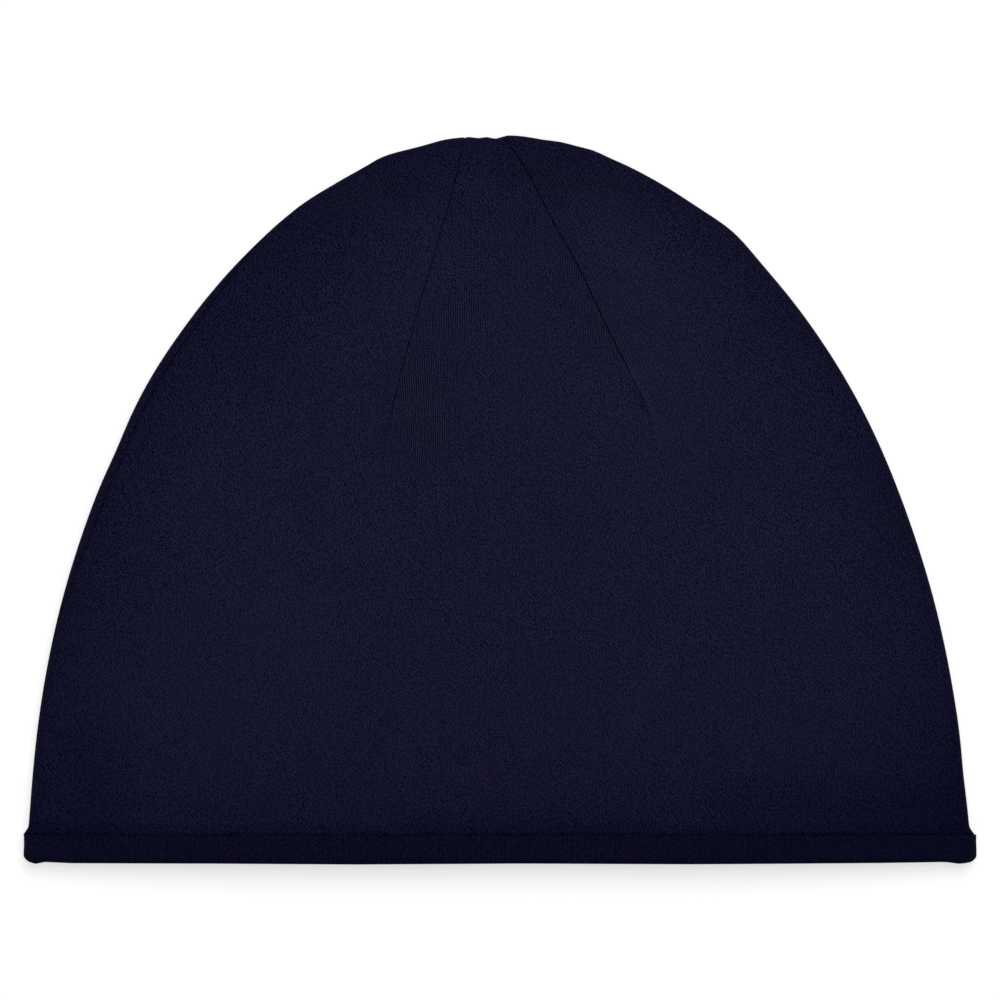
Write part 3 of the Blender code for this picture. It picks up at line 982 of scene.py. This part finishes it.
def bandSection():
    # the strip cut across, from the seam down the outside, round the fold and up the inside
    half = cap["bandWall"] / 2
    shoulder = hem["shoulder"]
    section = [(shoulder * inwards, bandHeight - shoulder * down) for inwards, down in shoulderCurve]
    straight = np.linspace(section[-1][1], half, hem["wallSteps"])[1:-1]
    section += [(0.0, float(up)) for up in straight]
    for step in range(hem["foldSteps"] + 1):
        turn = pi * step / hem["foldSteps"]
        section.append((half * (1 - np.cos(turn)), half * (1 - np.sin(turn))))
    straight = np.linspace(half, bandHeight, hem["wallSteps"])[1:]
    section += [(cap["bandWall"], float(up)) for up in straight]
    return np.array(section)


def makeBand():
    across, height, inset = bandOutline()
    section = bandSection()
    line = np.stack([across, height], axis=1)
    along = np.roll(line, -1, axis=0) - np.roll(line, 1, axis=0)
    inwards = np.stack([-along[:, 1], along[:, 0]], axis=1)
    inwards /= np.hypot(*inwards.T)[:, None]
    step = np.hypot(*(np.roll(line, -1, axis=0) - line).T)
    run = np.concatenate([[0.0], np.cumsum(step)])
    half = across / (capWidth / 2)
    edgeRise = np.interp(half, [row["across"] for row in hemEdge], [row["rise"] for row in hemEdge])
    edgeRise = edgeRise + hem["cornerRise"] * np.clip(1 - inset / hem["cornerRun"], 0, 1) ** 2
    wavesAlong, wavesUp = hem["softWaves"]
    bm = bmesh.new()
    chains = []
    for (x, z), inward, rise, at in zip(line, inwards, edgeRise, run):
        stitch = hem["pucker"] * np.cos(2 * pi * at / seamLine["stitch"])
        chain = []
        for depth, up in section:
            high = up / bandHeight
            soft = hem["soft"] * noise.noise(Vector((x * wavesAlong, up * wavesUp, z * wavesAlong)))
            drawn = stitch * high ** hem["puckerPower"] - soft * sin(pi * min(high, 1.0))
            drawn = depth + drawn * (depth < hem["outside"])
            # the band lies on the surface, never in it
            low = max(z + inward[1] * drawn, 0.0)
            chain.append(bm.verts.new((x + inward[0] * drawn, hemY + up + rise * (1 - high), low)))
        chains.append(chain)
    edges = [[bm.edges.new(pair) for pair in zip(chain, chain[1:])] for chain in chains]
    for before, after in zip(edges[-1:] + edges, edges):
        bmesh.ops.bridge_loops(bm, edges=before + after)
    bmesh.ops.recalc_face_normals(bm, faces=bm.faces[:])
    bm.normal_update()
    if sum(face.normal.z * face.calc_center_median().z for face in bm.faces) < 0:
        bmesh.ops.reverse_faces(bm, faces=bm.faces[:])
    bm.verts.index_update()
    bm.faces.ensure_lookup_table()
    size = len(section)
    sectionRun = np.concatenate([[0.0], np.cumsum(np.hypot(*np.diff(section, axis=0).T))])
    uvs = []
    for face in bm.faces:
        spots = [divmod(loop.vert.index, size) for loop in face.loops]
        last = max(number for number, at in spots)
        for number, at in spots:
            u = run[-1] if number == 0 and last > 1 else run[number]
            uvs.append((u, -sectionRun[at]))
    band = makeSheet(bm, "hemBand", [bandKnit, bandKnit], hem["ply"])
    writeKnit(band.data, np.array(uvs))
    # painted shade of the band: darker at the fold's edge, at its ends and towards its lower edge, and
    # painted lighter towards the left
    share, reach = hem["edge"]
    light = 1 - share * np.exp(-np.tile(section[:, 1], len(line)) / reach)
    light *= 1 - share * np.exp(-np.repeat(inset, size) / reach)
    share, reach = hem["lower"]
    light *= 1 - share * np.exp(-np.tile(section[:, 1], len(line)) / reach)
    paintedLight = np.interp(half, [row["across"] for row in hemPaintedLight], [row["light"] for row in hemPaintedLight])
    light *= np.repeat(paintedLight, size)
    closed = 1 - light * (1 - hem["closed"])
    writeShade(band.data, closed, np.zeros(len(light)), np.full(len(light), hem["ribs"]))
    return band


hemBand = makeBand()
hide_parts("hem_band")
print("hem band made")

# Floor: a plain sheet of white acrylic, lit a little from below too, so that shadows stay light
floorSet = {"size": 12.0, "drop": 0.00005, "colour": "#B4B4B4", "roughness": 0.9, "glow": 0.56}
bm = bmesh.new()
bmesh.ops.create_grid(bm, x_segments=1, y_segments=1, size=floorSet["size"] / 2)
bmesh.ops.translate(bm, verts=bm.verts[:], vec=(0, 0, -floorSet["drop"]))
floorMesh = bpy.data.meshes.new("floor")
bm.to_mesh(floorMesh)
bm.free()
floor = bpy.data.objects.new("floor", floorMesh)
scene.collection.objects.link(floor)
acrylic = bpy.data.materials.new("whiteAcrylic")
acrylic.use_nodes = True
acrylicShader = acrylic.node_tree.nodes["Principled BSDF"]
acrylicShader.inputs["Base Color"].default_value = (*hexColour(floorSet["colour"]), 1)
acrylicShader.inputs["Roughness"].default_value = floorSet["roughness"]
acrylicShader.inputs["Specular IOR Level"].default_value = 0.0
acrylicShader.inputs["Emission Color"].default_value = (1.0, 1.0, 1.0, 1.0)
acrylicShader.inputs["Emission Strength"].default_value = floorSet["glow"]
floorMesh.materials.append(acrylic)

# Light: a wide soft box towards the crown, a smaller one overhead, and a bright pale room
lights = {
    "key": {"place": (0.35, 1.05, 2.2), "size": 1.6, "power": 34.0},
    "top": {"place": (0.0, 0.1, 3.0), "size": 0.9, "power": 22.0},
}
roomLight = 0.42
for name, light in lights.items():
    lamp = bpy.data.lights.new(name, "AREA")
    lamp.shape = "SQUARE"
    lamp.size = light["size"]
    lamp.energy = light["power"]
    lampObject = bpy.data.objects.new(name, lamp)
    lampObject.location = light["place"]
    lampObject.rotation_mode = "QUATERNION"
    lampObject.rotation_quaternion = Vector(light["place"]).to_track_quat("Z", "Y")
    lampObject.visible_camera = False
    scene.collection.objects.link(lampObject)
room = bpy.data.worlds.new("room")
room.use_nodes = True
background = room.node_tree.nodes["Background"]
background.inputs["Color"].default_value = (1.0, 1.0, 1.0, 1.0)
background.inputs["Strength"].default_value = roomLight
scene.world = room
print("floor and lights made")
